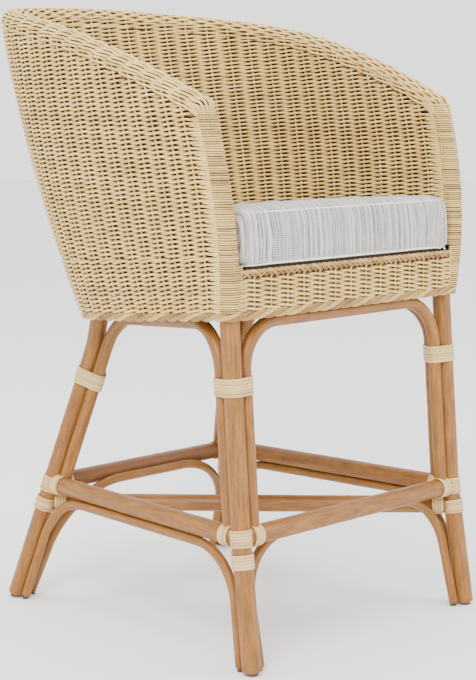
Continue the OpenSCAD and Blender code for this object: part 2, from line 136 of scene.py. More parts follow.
def wall_out(u, v):
    d = wall_dir(u, v)
    return np.stack([-d[..., 1], d[..., 0], np.zeros(d.shape[:-1])], -1)


def wall_foot(u):
    return wall(u, np.zeros_like(u))[..., 2]


def wall_top(u):
    return wall(u, np.ones_like(u))[..., 2]


def v_of(u, z):
    z0 = wall_foot(u)
    return (z - z0) / (wall_top(u) - z0)


U_FINE = np.linspace(-1, 1, 801)
MID_LINE = wall(U_FINE, np.full(801, 0.45))
ARC = np.concatenate([[0], np.cumsum(np.linalg.norm(np.diff(MID_LINE[:, :2], axis=0), axis=1))])


# ---------------------------------------------------------------- meshes


def unit(a):
    return a / np.maximum(np.linalg.norm(a, axis=-1, keepdims=True), 1e-12)


def tangents(path, closed=False):
    if closed:
        return unit(np.roll(path, -1, 0) - np.roll(path, 1, 0))
    return unit(np.gradient(path, axis=0))


class Mesh:
    """Collects tubes and sheets, and makes one object of them, with a tone and a length on each point. The
    tone also carries painted shade.
    """

    def __init__(self):
        self.verts, self.faces, self.tone, self.along, self.round, self.count = [], [], [], [], [], 0

    def grid(self, pts, closed_u, closed_v, tone=0.5, along=None, around=None):
        m, n = pts.shape[:2]
        i = np.arange(m if closed_u else m - 1)[:, None]
        j = np.arange(n if closed_v else n - 1)[None, :]
        a = i * n + j
        b = i * n + (j + 1) % n
        c = ((i + 1) % m) * n + (j + 1) % n
        d = ((i + 1) % m) * n + j
        quads = np.stack([a, b, c, d], -1).reshape(-1, 4) + self.count
        self.faces.append(quads)
        self.verts.append(pts.reshape(-1, 3))
        self.tone.append(np.broadcast_to(tone, (m, n)).ravel())
        along = np.zeros(m) if along is None else along
        around = np.arange(n) / n if around is None else around
        self.along.append(np.repeat(along, n))
        self.round.append(np.tile(around, m))
        self.count += m * n

    def tube(self, path, ref, ra, rb=None, sides=6, closed=False, tone=0.5, start=0.0, shade=0.0, back=0.0):
        """A tube along path: ref is the direction, at each point, that the first radius points in.
        shade is painted shade that darkens its points along the path, and back is painted shade that darkens
        the side away from ref."""
        path = np.asarray(path, float)
        rb = ra if rb is None else rb
        t = tangents(path, closed)
        ref = np.broadcast_to(np.asarray(ref, float), path.shape)
        a = unit(ref - (ref * t).sum(-1, keepdims=True) * t)
        b = np.cross(t, a)
        ra = np.broadcast_to(np.asarray(ra, float), len(path))[:, None, None]
        rb = np.broadcast_to(np.asarray(rb, float), len(path))[:, None, None]
        q = 2 * np.pi * np.arange(sides) / sides
        ring = (
            path[:, None, :]
            + ra * np.cos(q)[None, :, None] * a[:, None, :]
            + rb * np.sin(q)[None, :, None] * b[:, None, :]
        )
        step = np.linalg.norm(np.diff(path, axis=0), axis=1)
        along = start + np.concatenate([[0], np.cumsum(step)])
        # Painted shade: the tone is lowered by shade along the path and by back on the side away from ref.
        tone_with_shade = tone - np.broadcast_to(shade, len(path))[:, None] - back * (0.5 - 0.5 * np.cos(q))[None, :]
        if not closed:
            for end, k in ((ring[0], 0), (ring[-1], -1)):
                centre = end.mean(0)
                tight = centre + (end - centre) * 0.55
                out = -t[0] if k == 0 else t[-1]
                push = out * float(ra[k].mean()) * 0.35
                cap = np.stack([np.repeat((centre + push)[None], sides, 0), tight + push * 0.85])
                ring = np.concatenate([cap, ring] if k == 0 else [ring, cap[::-1]])
            along = np.concatenate([[along[0]] * 2, along, [along[-1]] * 2])
            tone_with_shade = np.concatenate([tone_with_shade[:1], tone_with_shade[:1], tone_with_shade, tone_with_shade[-1:], tone_with_shade[-1:]])
        self.grid(ring, closed, True, tone_with_shade, along)

    def strip(self, path, out, width, thick, across, tone=0.5):
        """A flat strip with rounded edges: out is its face's direction and across runs over its width."""
        profile = np.array([[-0.5, 0.0], [-0.5, 0.55], [-0.36, 1.0], [0.36, 1.0], [0.5, 0.55], [0.5, 0.0]])
        pts = (
            path[:, None, :]
            + profile[None, :, :1] * width * across[:, None, :]
            + profile[None, :, 1:] * thick * out[:, None, :]
        )
        step = np.linalg.norm(np.diff(path, axis=0), axis=1)
        along = np.concatenate([[0], np.cumsum(step)])
        self.grid(pts, True, True, tone, along, profile[:, 0])

    def build(self, name, mat, body="frame", slot=None):
        verts = np.concatenate(self.verts)
        faces = np.concatenate(self.faces)
        me = bpy.data.meshes.new(name)
        me.vertices.add(len(verts))
        me.vertices.foreach_set("co", verts.astype(np.float32).ravel())
        me.loops.add(len(faces) * 4)
        me.loops.foreach_set("vertex_index", faces.astype(np.int32).ravel())
        me.polygons.add(len(faces))
        me.polygons.foreach_set("loop_start", np.arange(0, len(faces) * 4, 4, dtype=np.int32))
        me.update(calc_edges=True)
        me.polygons.foreach_set("use_smooth", np.ones(len(faces), bool))
        for key, values in (("tone", self.tone), ("along", self.along), ("round", self.round)):
            att = me.attributes.new(key, "FLOAT", "POINT")
            att.data.foreach_set("value", np.concatenate(values).astype(np.float32))
        me.validate()
        bm = bmesh.new()
        bm.from_mesh(me)
        bmesh.ops.remove_doubles(bm, verts=bm.verts, dist=1e-7)
        bmesh.ops.recalc_face_normals(bm, faces=bm.faces)
        bm.to_mesh(me)
        bm.free()
        obj = bpy.data.objects.new(name, me)
        bpy.context.scene.collection.objects.link(obj)
        me.materials.append(mat)
        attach(obj, body)
        return obj


# ---------------------------------------------------------------- materials


class Nodes:
    """A short way to write a material's nodes."""

    def __init__(self, name, roughness=0.5, specular=0.5):
        self.mat = bpy.data.materials.new(name)
        self.mat.use_nodes = True
        self.tree = self.mat.node_tree
        self.bsdf = self.tree.nodes["Principled BSDF"]
        self.bsdf.inputs["Roughness"].default_value = roughness
        self.bsdf.inputs["Specular IOR Level"].default_value = specular

    def put(self, socket, v):
        if isinstance(v, bpy.types.NodeSocket):
            self.tree.links.new(v, socket)
        else:
            socket.default_value = v

    def attribute(self, key):
        n = self.tree.nodes.new("ShaderNodeAttribute")
        n.attribute_name = key
        return n.outputs["Fac"]

    def place(self):
        return self.tree.nodes.new("ShaderNodeTexCoord").outputs["Object"]

    def math(self, op, a, b=0.0, c=None):
        n = self.tree.nodes.new("ShaderNodeMath")
        n.operation = op
        self.put(n.inputs[0], a)
        self.put(n.inputs[1], b)
        if c is not None:
            self.put(n.inputs[2], c)
        return n.outputs[0]

    def vector(self, x, y, z):
        n = self.tree.nodes.new("ShaderNodeCombineXYZ")
        for s, v in zip(n.inputs, (x, y, z)):
            self.put(s, v)
        return n.outputs[0]

    def split(self, v):
        n = self.tree.nodes.new("ShaderNodeSeparateXYZ")
        self.put(n.inputs[0], v)
        return n.outputs

    def noise(self, vector, scale, detail=2.0, rough=0.5):
        n = self.tree.nodes.new("ShaderNodeTexNoise")
        self.put(n.inputs["Vector"], vector)
        n.inputs["Scale"].default_value = scale
        n.inputs["Detail"].default_value = detail
        n.inputs["Roughness"].default_value = rough
        return n.outputs["Fac"]

    def ramp(self, fac, stops):
        n = self.tree.nodes.new("ShaderNodeValToRGB")
        e = n.color_ramp.elements
        while len(e) < len(stops):
            e.new(0.5)
        for s, (at, colour) in zip(e, stops):
            s.position = at
            s.color = (*colour, 1)
        self.put(n.inputs[0], fac)
        return n.outputs[0]

    def mix(self, fac, a, b):
        n = self.tree.nodes.new("ShaderNodeMix")
        n.data_type = "RGBA"
        self.put(n.inputs[0], fac)
        self.put(n.inputs[6], a if isinstance(a, bpy.types.NodeSocket) else (*a, 1))
        self.put(n.inputs[7], b if isinstance(b, bpy.types.NodeSocket) else (*b, 1))
        return n.outputs[2]

    def bump(self, height, strength, distance):
        n = self.tree.nodes.new("ShaderNodeBump")
        n.inputs["Strength"].default_value = strength
        n.inputs["Distance"].default_value = distance
        self.put(n.inputs["Height"], height)
        self.put(self.bsdf.inputs["Normal"], n.outputs[0])

    def colour(self, c):
        self.put(self.bsdf.inputs["Base Color"], c)
        return self.mat


def reed(name, shade_colour, dark, mid, pale):
    """Peeled reed: each strand has its own tone and fine fibres, and painted shade on the side where it goes
    behind.
    """
    n = Nodes(name, 0.5, 0.4)
    p = n.place()
    fibre = n.noise(p, 900, 2)
    patch = n.noise(p, 28, 2)
    fleck = n.noise(p, 170, 1)
    t = n.math("MULTIPLY_ADD", patch, 0.30, n.math("SUBTRACT", n.attribute("tone"), 0.20))
    t = n.math("MULTIPLY_ADD", fibre, 0.16, n.math("SUBTRACT", t, 0.06))
    # The darkest stop is the painted shade colour, reached where the tone attribute is lowered by painted
    # shade.
    c = n.ramp(t, [(0.0, shade_colour), (0.24, dark), (0.48, mid), (0.78, pale)])
    spot = n.ramp(fleck, [(0.70, (0, 0, 0)), (0.78, (1, 1, 1))])
    c = n.mix(n.math("MULTIPLY", spot, 0.25), c, dark)
    n.bump(fibre, 0.2, 0.0004)
    return n.colour(c)


def pole_material():
    """Varnished rattan pole: long fibres, dark dashes, scraped skin marks and a faint ring at each node."""
    n = Nodes("rattan_pole", 0.44, 0.35)
    along, around = n.attribute("along"), n.attribute("round")
    turn = n.math("MULTIPLY", around, 2 * math.pi)
    cx, cy = n.math("COSINE", turn), n.math("SINE", turn)
    shift = n.math("MULTIPLY", n.attribute("tone"), 37.0)
    grain = n.noise(n.vector(cx, cy, n.math("MULTIPLY_ADD", along, 2.2, shift)), 9, 4, 0.62)
    fine = n.noise(n.vector(cx, cy, n.math("MULTIPLY_ADD", along, 9.0, shift)), 34, 3, 0.7)
    blotch = n.noise(n.vector(cx, cy, n.math("MULTIPLY_ADD", along, 14.0, shift)), 1.6, 3, 0.6)
    t = n.math("MULTIPLY_ADD", grain, 0.55, n.math("MULTIPLY", fine, 0.34))
    t = n.math("MULTIPLY_ADD", blotch, 0.38, n.math("SUBTRACT", t, 0.14))
    c = n.ramp(t, POLE_STOPS)
    dash = n.noise(n.vector(cx, cy, n.math("MULTIPLY_ADD", along, 11.0, shift)), 13, 2, 0.6)
    c = n.mix(n.math("MULTIPLY", n.ramp(dash, [(0.63, (0, 0, 0)), (0.70, (1, 1, 1))]), 0.55), c, POLE_MARK)
    skin = n.noise(n.vector(cx, cy, n.math("MULTIPLY_ADD", along, 30.0, shift)), 2.6, 2, 0.6)
    c = n.mix(n.math("MULTIPLY", n.ramp(skin, [(0.64, (0, 0, 0)), (0.72, (1, 1, 1))]), 0.30), c, POLE_MARK)
    c = n.mix(n.math("MULTIPLY", n.attribute("ring"), 0.40), c, (0.13, 0.05, 0.018))
    # Each pole is darkened as a whole by its own darkening amount.
    c = n.mix(n.math("MULTIPLY", n.attribute("darkening"), 0.62), c, (0.16, 0.062, 0.022))
    n.bump(n.math("MULTIPLY_ADD", fine, 0.6, grain), 0.2, 0.0008)
    n.bsdf.inputs["Coat Weight"].default_value = 0.08
    n.bsdf.inputs["Coat Roughness"].default_value = 0.3
    return n.colour(c)


def peel_material():
    """Cane peel: smooth pale strips with a faint long grain, each turn in a tone of its own."""
    n = Nodes("cane_peel", 0.42, 0.45)
    along, across = n.attribute("along"), n.attribute("round")
    shift = n.math("MULTIPLY", n.attribute("tone"), 53.0)
    place = n.vector(n.math("MULTIPLY", across, 9.0), n.math("MULTIPLY_ADD", along, 40.0, shift), shift)
    grain = n.noise(place, 1.3, 4, 0.6)
    t = n.math("MULTIPLY_ADD", grain, 0.7, n.math("MULTIPLY", n.attribute("tone"), 0.3))
    c = n.ramp(t, [(0.28, (0.44, 0.27, 0.10)), (0.50, (0.60, 0.41, 0.17)), (0.75, (0.72, 0.53, 0.25))])
    n.bump(grain, 0.2, 0.0004)
    return n.colour(c)


def plastic_material(name, base, roughness=0.5):
    n = Nodes(name, roughness, 0.5)
    p = n.place()
    c = n.mix(n.noise(p, 120, 3), base, tuple(min(1, x * 1.5 + 0.01) for x in base))
    n.bump(n.noise(p, 900, 2), 0.15, 0.0003)
    return n.colour(c)


def metal_material():
    n = Nodes("screw_steel", 0.34, 0.5)
    n.bsdf.inputs["Metallic"].default_value = 1.0
    p = n.place()
    c = n.mix(n.noise(p, 500, 3), (0.48, 0.48, 0.47), (0.72, 0.72, 0.70))
    n.bump(n.noise(p, 1800, 2), 0.1, 0.0002)
    return n.colour(c)


def slat_material():
    n = Nodes("slat_wood", 0.6, 0.4)
    x, y, z = n.split(n.place())
    stretched = n.vector(n.math("MULTIPLY", x, 60), n.math("MULTIPLY", y, 4), n.math("MULTIPLY", z, 60))
    grain = n.noise(stretched, 1.5, 4, 0.65)
    c = n.ramp(grain, [(0.35, (0.40, 0.25, 0.12)), (0.65, (0.62, 0.44, 0.24))])
    n.bump(grain, 0.2, 0.0006)
    return n.colour(c)


def foam_material():
    n = Nodes("cushion_foam", 0.9, 0.2)
    p = n.place()
    cells = n.noise(p, 700, 3)
    c = n.mix(cells, (0.80, 0.76, 0.60), (0.92, 0.89, 0.76))
    n.bump(cells, 0.5, 0.0008)
    return n.colour(c)


def fabric_material():
    """Pale grey fabric: irregular columns of dark stitches run down the front and back over the top."""
    n = Nodes("cushion_fabric", 0.92, 0.2)
    n.bsdf.inputs["Sheen Weight"].default_value = 0.2
    n.bsdf.inputs["Sheen Roughness"].default_value = 0.5
    x, y, z = n.split(n.place())
    run = n.math("ADD", z, y)

    def cloth(across, down, layer=0.0):
        return n.vector(n.math("MULTIPLY", x, across), n.math("MULTIPLY", run, down), layer)

    warp = n.math("SINE", n.math("MULTIPLY", x, 2 * math.pi / WARP_PITCH))
    weft = n.math("SINE", n.math("MULTIPLY", run, 2 * math.pi / WEFT_PITCH))
    weave = n.math("MULTIPLY", warp, weft)
    wander = n.math("MULTIPLY_ADD", n.noise(cloth(30, 9), 1.0, 2), 0.003, x)
    broken = n.noise(cloth(300, 26, 3.0), 1.0, 2, 0.6)
    broken = n.ramp(broken, [(0.30, (0.35, 0.35, 0.35)), (0.52, (1, 1, 1))])
    lines = 0.0
    for scale, width, least, most in ((150, 0.22, 0.50, 1.0), (290, 0.22, 0.0, 1.0)):
        columns = n.tree.nodes.new("ShaderNodeTexVoronoi")
        columns.voronoi_dimensions = "1D"
        columns.inputs["Scale"].default_value = scale
        n.put(columns.inputs["W"], wander)
        near = n.ramp(columns.outputs["Distance"], [(width, (1, 1, 1)), (width + 0.09, (0, 0, 0))])
        own = n.math("MULTIPLY_ADD", n.split(columns.outputs["Color"])[0], most - least, least)
        lines = n.math("MAXIMUM", n.math("MULTIPLY", near, own), lines)
    strength = n.math("MULTIPLY", lines, broken)
    dash = n.ramp(n.math("MULTIPLY_ADD", weft, 0.5, 0.5), [(0.25, (0.40, 0.40, 0.40)), (0.5, (1, 1, 1))])
    base = n.mix(n.noise(cloth(800, 260), 1.0, 3, 0.7), FABRIC_SHADE, FABRIC_PALE)
    base = n.mix(n.math("MULTIPLY_ADD", weave, 0.05, 0.05), base, (0.40, 0.39, 0.37))
    c = n.mix(n.math("MULTIPLY", strength, dash), base, FABRIC_LINE)
    n.bump(weave, 0.35, 0.0005)
    return n.colour(c)


POLE_STOPS = [
    (0.28, (0.105, 0.035, 0.006)),
    (0.44, (0.205, 0.078, 0.013)),
    (0.58, (0.315, 0.135, 0.023)),
    (0.76, (0.42, 0.198, 0.040)),
]
POLE_MARK = (0.13, 0.045, 0.012)
WARP_PITCH = 0.0021
WEFT_PITCH = 0.0033
FABRIC_SHADE = (0.36, 0.352, 0.332)
FABRIC_PALE = (0.76, 0.745, 0.705)
FABRIC_LINE = (0.018, 0.020, 0.023)
# Painted shade colour of reed where strands go behind the stakes and on their far sides.
PAINTED_SHADE = (0.055, 0.026, 0.009)
REED = reed("woven_reed", PAINTED_SHADE, (0.33, 0.19, 0.055), (0.67, 0.46, 0.150), (0.83, 0.63, 0.245))
REED_DARK = reed("border_reed", PAINTED_SHADE, (0.17, 0.080, 0.020), (0.42, 0.235, 0.070), (0.62, 0.42, 0.150))
STAKE = reed("reed_stake", PAINTED_SHADE, (0.28, 0.155, 0.045), (0.56, 0.37, 0.14), (0.72, 0.53, 0.22))
POLE = pole_material()
PEEL = peel_material()
GLIDE = plastic_material("glide_plastic", (0.045, 0.024, 0.014))
ZIP = plastic_material("zip_plastic", (0.10, 0.10, 0.105))
STEEL = metal_material()
SLAT = slat_material()
FOAM = foam_material()
FABRIC = fabric_material()


def dress(node, mat):
    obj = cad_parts[node]
    for s in obj.material_slots:
        s.material = mat
    if not obj.material_slots:
        obj.data.materials.append(mat)


# ---------------------------------------------------------------- poles

front_foot = np.array([252, -315, 0]) * MM
front_ring = np.array([245.5, -286, 197]) * MM
front_top = np.array([244, -258, 555]) * MM
back_foot = np.array([241, 249, 0]) * MM
back_bend = np.array([165, 127, 430]) * MM
back_top = np.array([162, 108, 520]) * MM


def on_line(a, b, z):
    return a + (b - a) * (z - a[2]) / (b[2] - a[2])


def leg_axis(e, z, straight=False):
    """The point of leg e's middle line at height z; straight leaves a back leg's top bend out."""
    if e < 2:
        p = on_line(front_foot, front_ring, z) if z < front_ring[2] else on_line(front_ring, front_top, z)
    elif z < back_bend[2] or straight:
        p = on_line(back_foot, back_bend, z)
    else:
        p = on_line(back_bend, back_top, z)
    return p * np.array([-1 if e % 2 == 0 else 1, 1, 1])


def rounded(points, bend, step=4 * MM):
    """A path through points, with each inner corner rounded to the bend radius."""
    points = [np.asarray(p, float) for p in points]
    out = [points[0]]
    for before, at, after in zip(points, points[1:], points[2:]):
        a, b = unit(before - at), unit(after - at)
        turn = math.pi - math.acos(np.clip(a @ b, -1, 1))
        cut = bend * math.tan(turn / 2)
        centre = at + unit(a + b) * bend / math.cos(turn / 2)
        sa, sb = at + a * cut - centre, at + b * cut - centre
        k = np.linspace(0, 1, max(4, int(bend * turn / step)))[:, None]
        arc = centre + (sa * np.sin(turn * (1 - k)) + sb * np.sin(turn * k)) / math.sin(turn)
        out.extend(arc)
    out.append(points[-1])
    path = [out[0]]
    for p in out[1:]:
        gap = np.linalg.norm(p - path[-1])
        if gap < 1e-6:
            continue
        n = max(1, int(round(gap / step)))
        start = path[-1]
        path.extend(start + (p - start) * i / n for i in range(1, n + 1))
    return np.array(path)


def pole(name, path, r, replaced, ref=(0.3, 0.9, 0.1), sides=28, darkening=0.0):
    """A rattan pole: slightly uneven, with a raised ring at each node, and rounded ends."""
    length = np.concatenate([[0], np.cumsum(np.linalg.norm(np.diff(path, axis=0), axis=1))])
    nodes = []
    at = rng.uniform(0.05, 0.25)
    while at < length[-1] - 0.03:
        nodes.append(at)
        at += rng.uniform(0.17, 0.34)
    swell = np.zeros(len(path))
    dark = np.zeros(len(path))
    for at in nodes:
        d = length - at
        swell += 0.022 * np.exp(-((d / 0.006) ** 2)) - 0.014 * np.exp(-(((d - 0.009) / 0.005) ** 2))
        dark += np.exp(-((d / 0.0032) ** 2)) * rng.uniform(0.6, 1.0)
    wobble = 0.006 * np.sin(length * 31 + rng.uniform(0, 6)) + 0.004 * np.sin(length * 83 + rng.uniform(0, 6))
    radius = r * np.minimum(1 + swell + wobble, 1.02) * 0.995
    m = Mesh()
    m.tube(path, np.asarray(ref, float), radius, radius, sides, tone=rng.uniform(0, 1))
    obj = m.build(name, POLE, "frame", "rattan_pole")
    me = obj.data
    along = np.empty(len(me.vertices), np.float32)
    me.attributes["along"].data.foreach_get("value", along)
    ring = np.interp(along, length, dark)
    me.attributes.new("ring", "FLOAT", "POINT").data.foreach_set("value", ring.astype(np.float32))
    darkening_values = np.full(len(along), darkening, np.float32)
    me.attributes.new("darkening", "FLOAT", "POINT").data.foreach_set("value", darkening_values)
    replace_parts(obj, replaced)
    return obj


def inward(e):
    return np.array([1 if e % 2 == 0 else -1, 1 if e < 2 else -1, 0])


def lean_off(e, dx, dy):
    return inward(e) * np.array([dx, dy, 0]) * MM


def make_legs():
    for e, name in enumerate(ENDS):
        top = plane_z(leg_axis(e, 0.52)[1]) + 42 * MM
        knee = leg_axis(e, RING_Z if e < 2 else back_bend[2])
        path = rounded([leg_axis(e, 5.6 * MM), knee, leg_axis(e, top)], LEG_BEND)
        pole("pole_leg_" + name, path, LEG_R, "leg_" + name, ref=(1, 0.2, 0))


def butted(a, b, z):
    """The middle line of a pole between two legs, let a little into each."""
    p, q = leg_axis(a, z), leg_axis(b, z)
    d = unit(q - p) * (LEG_R - 1.5 * MM)
    return rounded([p + d, q - d], 0.1)


def make_stretchers():
    # The last number darkens each pole as a whole: most on the back stretcher, then the left one.
    for name, a, b, darkening in (
        ("footrest_front", 0, 1, 0.12),
        ("stretcher_back", 2, 3, 1.0),
        ("stretcher_left", 1, 3, 0.35),
        ("stretcher_right", 0, 2, 0.1),
    ):
        pole("pole_" + name, butted(a, b, RING_Z), RAIL_R, name, ref=(0, 0, 1), darkening=darkening)


def make_braces():
    for name, a, b in (("cross_brace_under", 0, 3), ("cross_brace_over", 1, 2)):
        pole("pole_" + name, butted(a, b, BRACE_Z), BRACE_R, name, ref=(0, 0, 1), darkening=0.3)


def upper_path(e1, e2, off):
    z1 = plane_z(-0.240 if e1 < 2 else 0.100) - 4 * MM
    z2 = plane_z(-0.240 if e2 < 2 else 0.100) - 4 * MM
    foot = RING_Z + RAIL_R - 1.5 * MM
    o1, o2 = lean_off(e1, *off), lean_off(e2, *off)
    up = [leg_axis(e1, z, True) + o1 for z in (foot, z1)]
    down = [leg_axis(e2, z, True) + o2 for z in (z2, foot)]
    return rounded(up + down, UPPER_BEND)


CROSS_OFF = (25.4, 0)
SIDE_OFF = (3, 26)


def make_upper_arches():
    for side, e1, e2 in (("front", 0, 1), ("back", 2, 3), ("left", 1, 3), ("right", 0, 2)):
        crosswise = side in ("front", "back")
        path = upper_path(e1, e2, CROSS_OFF if crosswise else SIDE_OFF)
        ref = (0, 1, 0) if crosswise else (1, 0, 0)
        pole("pole_upper_arch_" + side, path, UPPER_R, "upper_arch_" + side, ref=ref, sides=24)


def make_lower_arches():
    floor = 6.4 * MM
    side_z = RING_Z - RAIL_R - LOWER_R - 0.3 * MM
    for side, e1, e2 in (("left", 1, 3), ("right", 0, 2)):
        o1, o2 = lean_off(e1, 0, 23.2), lean_off(e2, 0, 23.2)
        up = [leg_axis(e1, z) + o1 for z in (floor, side_z)]
        down = [leg_axis(e2, z) + o2 for z in (side_z, floor)]
        path = rounded(up + down, LOWER_BEND)
        pole("pole_lower_arch_" + side, path, LOWER_R, "lower_arch_" + side, ref=(1, 0, 0), sides=20)
    for side, e1, e2, (dx, dy), shift, bend in (
        ("front", 0, 1, (22, 5), 18, 90),
        ("back", 2, 3, (26, 6), 20.6, 130),
    ):
        z = RING_Z - math.sqrt((RAIL_R + LOWER_R + 0.4 * MM) ** 2 - (shift * MM) ** 2)
        feet = [leg_axis(e, floor) + lean_off(e, dx, dy) for e in (e1, e2)]
        tops = []
        for e in (e1, e2):
            x = leg_axis(e, z)[0] + inward(e)[0] * dx * MM
            y = leg_axis(e, RING_Z)[1] + inward(e)[1] * shift * MM
            tops.append(np.array([x, y, z]))
        path = rounded([feet[0], tops[0], tops[1], feet[1]], bend * MM)
        pole("pole_lower_arch_" + side, path, LOWER_R, "lower_arch_" + side, ref=(0, 1, 0), sides=20)


# ---------------------------------------------------------------- cane bindings


def wrapped_outline(circles, gap):
    """The line of a band pulled tight round circles (x, y, radius), as points and outward directions."""
    q = np.linspace(0, 2 * np.pi, 720, endpoint=False)
    d = np.stack([np.cos(q), np.sin(q)], -1)
    best = np.max([d @ np.array(c[:2]) + c[2] + gap for c in circles], axis=0)
    slope = np.gradient(np.concatenate([best[-2:], best, best[:2]]), q[1])[2:-2]
    pts = d * best[:, None] + np.stack([-np.sin(q), np.cos(q)], -1) * slope[:, None]
    step = np.linalg.norm(np.roll(pts, -1, 0) - pts, axis=1)
    s = np.concatenate([[0], np.cumsum(step)])
    want = np.linspace(0, s[-1], 64, endpoint=False)
    closed = np.concatenate([pts, pts[:1]])
    out = np.stack([np.interp(want, s, closed[:, k]) for k in range(2)], -1)
    side = np.roll(out, -1, 0) - np.roll(out, 1, 0)
    normal = unit(np.stack([side[:, 1], -side[:, 0]], -1))
    return out, normal


PEEL_WIDTH = 4.6 * MM
PEEL_THICK = 1.7 * MM
UPPER_LENGTH = 27 * MM
RING_LENGTH = 26 * MM
BRACE_LENGTH = 22 * MM
LOBE_LENGTH = 19 * MM


def leg_frame(e, z):
    """The direction of leg e at height z, and two directions square to it."""
    axis = unit(leg_axis(e, z + 0.02) - leg_axis(e, z - 0.02))
    ax = unit(np.array([1, 0, 0]) - axis * axis[0])
    return axis, ax, np.cross(axis, ax)


def turns(m, origin, axis, ax, ay, circles, length):
    """Turns of cane peel side by side: each is a flat strip round the circles, square to the axis."""
    pts, normal = wrapped_outline(circles, 0.15 * MM)
    count = max(2, int(round(length / PEEL_WIDTH)))
    width = length / count
    axis, ax, ay = (unit(np.asarray(k, float)) for k in (axis, ax, ay))
    for i in range(count):
        skew = rng.uniform(-0.25, 0.25) * MM
        grow = rng.uniform(0, 0.25) * MM
        lift = (i + 0.5) * width - length / 2
        wave = skew * np.sin(np.arange(len(pts)) / len(pts) * 2 * np.pi + rng.uniform(0, 6))
        path = origin + (pts[:, :1] + normal[:, :1] * grow) * ax + (pts[:, 1:] + normal[:, 1:] * grow) * ay
        path = path + (lift + wave)[:, None] * axis
        out = normal[:, :1] * ax + normal[:, 1:] * ay
        across = np.broadcast_to(axis, path.shape)
        thick = PEEL_THICK + rng.uniform(-0.15, 0.15) * MM
        m.strip(path, out, width * 0.97, thick, across, tone=rng.uniform(0, 1))


def make_upper_bindings():
    for e, name in enumerate(ENDS):
        z = (low("upper_binding_" + name)[2] + high("upper_binding_" + name)[2]) / 2
        s = inward(e)
        arches = [(s[0] * dx * MM, s[1] * dy * MM, UPPER_R) for dx, dy in (CROSS_OFF, SIDE_OFF)]
        circles = [(0, 0, LEG_R)] + arches
        m = Mesh()
        turns(m, leg_axis(e, z), *leg_frame(e, z), circles, UPPER_LENGTH)
        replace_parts(m.build("peel_upper_" + name, PEEL, "frame", "cane_peel"), "upper_binding_" + name)


def lobe(m, e, other, z, r, reach):
    """Turns round the end of a stretcher or brace, beside leg e."""
    a, b = leg_axis(e, z), leg_axis(other, z)
    d = unit(b - a)
    origin = a + d * (LEG_R + 2 * MM + reach / 2)
    side = unit(np.cross([0, 0, 1], d))
    turns(m, origin, d, side, np.cross(d, side), [(0, 0, r)], reach)


NEIGHBOURS = ([1, 2], [0, 3], [3, 0], [2, 1])


def make_ring_bindings():
    for e, name in enumerate(ENDS):
        m = Mesh()
        for other in NEIGHBOURS[e]:
            lobe(m, e, other, RING_Z, RAIL_R + 0.3 * MM, LOBE_LENGTH)
        turns(m, leg_axis(e, RING_Z), *leg_frame(e, RING_Z), [(0, 0, LEG_R + 0.3 * MM)], RING_LENGTH)
        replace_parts(m.build("peel_ring_" + name, PEEL, "frame", "cane_peel"), "ring_binding_" + name)


def make_brace_bindings():
    for e, name in enumerate(ENDS):
        m = Mesh()
        lobe(m, e, 3 - e, BRACE_Z, BRACE_R + 0.2 * MM, LOBE_LENGTH)
        z = BRACE_Z - 1.5 * MM
        turns(m, leg_axis(e, z), *leg_frame(e, z), [(0, 0, LEG_R + 0.3 * MM)], BRACE_LENGTH)
        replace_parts(m.build("peel_brace_" + name, PEEL, "frame", "cane_peel"), "brace_binding_" + name)


# ---------------------------------------------------------------- twined reed

PITCH = 6.75 * MM
STRAND = 1.86 * MM
TWIST = 3.5 * MM
LIFT = 1.60 * MM
WRAP_R = 16.2 * MM
OUTER_STAKES = 45
INNER_STAKES = 37
BAND = 2.0
PER_STAKE = 9
ROW_START = 16.5 * MM


def smooth(x):
    x = np.clip(x, 0, 1)
    return x * x * (3 - 2 * x)


def twine(
    m, centre, out, up, q,
    strand=STRAND, twist=TWIST, lift=LIFT, wrap=None, tuck=None, side=1, sides=6, flip=0,
):
    """Two strands twisted along centre. q counts stakes along it; wrap pulls both to lie side by side
    on the outside, and tuck pulls them behind the stakes where a row ends."""
    wrap = np.zeros(len(q)) if wrap is None else wrap
    tuck = np.zeros(len(q)) if tuck is None else tuck
    lay = rng.uniform(-0.05, 0.05, 2) * MM
    for k in (0, 1):
        turn = np.pi * (q + k + flip)
        slow = 0.08 * MM * np.sin(q * 1.7 + rng.uniform(0, 6))
        wob = slow + 0.05 * MM * np.sin(q * 5.3 + rng.uniform(0, 6))
        radial = (1 - wrap) * twist * np.cos(turn) + wrap * (WRAP_R - WEAVE_R) - tuck * 5 * MM
        vertical = -side * (1 - wrap) * lift * np.sin(turn) + wrap * (0.5 - k) * PITCH / 2 + lay[k] + wob
        path = centre + out * radial[:, None] + up * vertical[:, None]
        r = strand * rng.uniform(0.96, 1.04)
        # Painted shade: each strand darkens where it turns behind the stakes, and back=0.40 darkens its side
        # facing into the wall.
        shade = 0.45 * smooth((0.10 * twist - radial) / (1.1 * twist))
        tone = rng.uniform(0.52, 0.72)
        m.tube(path, out, r, r * 1.02, sides, tone=tone, start=rng.uniform(0, 5), shade=shade, back=0.40)


def row_table(low_h, shift):
    """The rows of a wall: height functions of u. The first follow the skirt, the rest lie level."""
    rows = []
    follow = int(round(96 * MM / PITCH))
    first = math.floor(low_h / PITCH)
    top_level = SKIRT_Z + follow * PITCH
    for k in range(first, follow):
        rows.append(("skirt", k * PITCH + 3 * MM + shift))
    z = plane_z(0.150) + follow * PITCH + PITCH
    drop = top_level - z
    z = top_level - math.floor(drop / PITCH) * PITCH
    while z < RIM_BACK:
        rows.append(("level", z + 3 * MM + shift))
        z += PITCH
    return rows, follow * PITCH


def row_heights(kind, value, u, fan):
    if kind == "skirt":
        return wall_foot(u) + value, np.ones(len(u), bool)
    z = np.full(len(u), value)
    floor = wall_foot(u) + fan - 2 * MM
    roof = wall_top(u) - BAND * PITCH + 1.5 * MM
    return z, (z > floor) & (z < roof)


